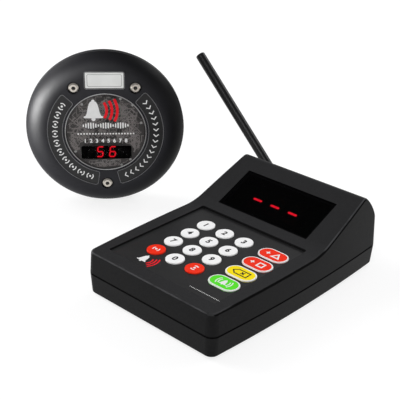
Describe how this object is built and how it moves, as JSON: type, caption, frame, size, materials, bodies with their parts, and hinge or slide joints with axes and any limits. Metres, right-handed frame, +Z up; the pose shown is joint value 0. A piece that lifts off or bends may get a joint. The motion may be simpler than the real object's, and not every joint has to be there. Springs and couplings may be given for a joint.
{
  "type": "guest pager system",
  "caption": "Desk transmitter with numbered keys, red display and hinged rod antenna, with one round coaster pager on its rim.",
  "frame": {"origin": "on the desk, under the middle of the box around the transmitter and its pager", "axes": "+X to the transmitter's right, +Y towards its back, where the antenna is, +Z up; keypad edge towards -Y"},
  "size_m": [0.2471, 0.181, 0.115],
  "materials": {
    "case_black": "fine matt texture",
    "overlay_black": "smooth satin film",
    "window_black": "polished, very dark",
    "key_white": "satin",
    "key_red": "satin",
    "key_yellow": "satin",
    "key_green": "satin",
    "silicone": "soft matt",
    "board_green": "solder mask",
    "chip_black": "moulded",
    "module_grey": "dark face",
    "lit_red": "lit",
    "foot_rubber": "matt",
    "screw_steel": "turned",
    "metal_black": "black",
    "jack_brass": "plated",
    "antenna_black": "soft matt",
    "pager_black": "satin, finely textured",
    "lens_clear": "clear",
    "card_print": "printed card",
    "filter_black": "smoked",
    "label_white": "plain",
    "panel_print": "printed film",
    "battery_grey": "foil pouch",
    "motor_steel": "drawn can",
    "contact_gold": "gold plated"
  },
  "bodies": {
    "case": {"upper_case": "case_black", "lower_case": "case_black", "rubber_feet": "foot_rubber", "case_screws": "screw_steel", "keypad_overlay": "overlay_black", "keypad_mat": "silicone", "keypad_board": "board_green", "keypad_screws": "screw_steel", "display_window": "window_black", "digit_modules": "module_grey", "lit_segments": "lit_red", "display_board": "board_green", "display_screws": "screw_steel", "main_board": "board_green", "main_screws": "screw_steel", "main_board_parts": "chip_black", "beeper": "chip_black", "dc_jack": "chip_black", "antenna_jack": "jack_brass", "antenna_nut": "metal_black"},
    "key_1": {"key_1": "key_white"},
    "key_2": {"key_2": "key_white"},
    "key_3": {"key_3": "key_white"},
    "key_4": {"key_4": "key_white"},
    "key_5": {"key_5": "key_white"},
    "key_6": {"key_6": "key_white"},
    "key_7": {"key_7": "key_white"},
    "key_8": {"key_8": "key_white"},
    "key_9": {"key_9": "key_white"},
    "key_left": {"key_left": "key_red"},
    "key_0": {"key_0": "key_white"},
    "key_right": {"key_right": "key_red"},
    "key_a": {"key_a": "key_red"},
    "key_b": {"key_b": "key_red"},
    "key_clear": {"key_clear": "key_yellow"},
    "key_call": {"key_call": "key_green"},
    "antenna_base": {"antenna_coupling": "metal_black", "antenna_fork": "antenna_black", "antenna_pin": "screw_steel"},
    "antenna_rod": {"antenna_whip": "antenna_black"},
    "pager": {"pager_top": "pager_black", "pager_bottom": "pager_black", "pager_screws": "screw_steel", "pager_lens": "lens_clear", "pager_filter": "filter_black", "pager_digits": "module_grey", "pager_lit_segments": "lit_red", "pager_board": "board_green", "pager_board_screws": "screw_steel", "pager_aerial": "contact_gold", "pager_battery": "battery_grey", "pager_buzzer": "chip_black", "insert_card": "card_print", "label_plate": "label_white", "arc_panel_left": "panel_print", "arc_panel_right": "panel_print", "motor_can": "motor_steel", "motor_cradle": "pager_black", "charge_contacts": "contact_gold"},
    "motor_weight": {"motor_weight": "motor_steel"}
  },
  "joints": [
    {"name": "key_1_press", "type": "slide", "parent": "case", "child": "key_1", "axis": [0, 0.0166, -0.9999], "range_m": [0, 0.0007], "stiffness_N_per_m": 1200},
    {"name": "key_2_press", "type": "slide", "parent": "case", "child": "key_2", "axis": [0, 0.0166, -0.9999], "range_m": [0, 0.0007], "stiffness_N_per_m": 1200},
    {"name": "key_3_press", "type": "slide", "parent": "case", "child": "key_3", "axis": [0, 0.0166, -0.9999], "range_m": [0, 0.0007], "stiffness_N_per_m": 1200},
    {"name": "key_4_press", "type": "slide", "parent": "case", "child": "key_4", "axis": [0, 0.0166, -0.9999], "range_m": [0, 0.0007], "stiffness_N_per_m": 1200},
    {"name": "key_5_press", "type": "slide", "parent": "case", "child": "key_5", "axis": [0, 0.0166, -0.9999], "range_m": [0, 0.0007], "stiffness_N_per_m": 1200},
    {"name": "key_6_press", "type": "slide", "parent": "case", "child": "key_6", "axis": [0, 0.0166, -0.9999], "range_m": [0, 0.0007], "stiffness_N_per_m": 1200},
    {"name": "key_7_press", "type": "slide", "parent": "case", "child": "key_7", "axis": [0, 0.0166, -0.9999], "range_m": [0, 0.0007], "stiffness_N_per_m": 1200},
    {"name": "key_8_press", "type": "slide", "parent": "case", "child": "key_8", "axis": [0, 0.0166, -0.9999], "range_m": [0, 0.0007], "stiffness_N_per_m": 1200},
    {"name": "key_9_press", "type": "slide", "parent": "case", "child": "key_9", "axis": [0, 0.0166, -0.9999], "range_m": [0, 0.0007], "stiffness_N_per_m": 1200},
    {"name": "key_left_press", "type": "slide", "parent": "case", "child": "key_left", "axis": [0, 0.0166, -0.9999], "range_m": [0, 0.0007], "stiffness_N_per_m": 1200},
    {"name": "key_0_press", "type": "slide", "parent": "case", "child": "key_0", "axis": [0, 0.0166, -0.9999], "range_m": [0, 0.0007], "stiffness_N_per_m": 1200},
    {"name": "key_right_press", "type": "slide", "parent": "case", "child": "key_right", "axis": [0, 0.0166, -0.9999], "range_m": [0, 0.0007], "stiffness_N_per_m": 1200},
    {"name": "key_a_press", "type": "slide", "parent": "case", "child": "key_a", "axis": [0, 0.0166, -0.9999], "range_m": [0, 0.0007], "stiffness_N_per_m": 1200},
    {"name": "key_b_press", "type": "slide", "parent": "case", "child": "key_b", "axis": [0, 0.0166, -0.9999], "range_m": [0, 0.0007], "stiffness_N_per_m": 1200},
    {"name": "key_clear_press", "type": "slide", "parent": "case", "child": "key_clear", "axis": [0, 0.0166, -0.9999], "range_m": [0, 0.0007], "stiffness_N_per_m": 1200},
    {"name": "key_call_press", "type": "slide", "parent": "case", "child": "key_call", "axis": [0, 0.0166, -0.9999], "range_m": [0, 0.0007], "stiffness_N_per_m": 1200},
    {"name": "antenna_swivel", "type": "hinge", "parent": "case", "child": "antenna_base", "pos_m": [0.02787, 0.0722, 0.0205], "axis": [0, 1, 0], "range_deg": [-43, 137]},
    {"name": "antenna_fold", "type": "hinge", "parent": "antenna_base", "child": "antenna_rod", "pos_m": [0.02787, 0.0865, 0.0205], "axis": [-0.6845, 0, -0.729], "range_deg": [0, 90]},
    {"name": "pager_lift", "type": "slide", "parent": "case", "child": "pager", "axis": [0, 0, 1], "range_m": [0, 0.12]},
    {"name": "motor_spin", "type": "hinge", "parent": "pager", "child": "motor_weight", "pos_m": [-0.08343, 0.01737, 0.0335], "axis": [0.6561, 0.7547, 0], "continuous": true}
  ]
}
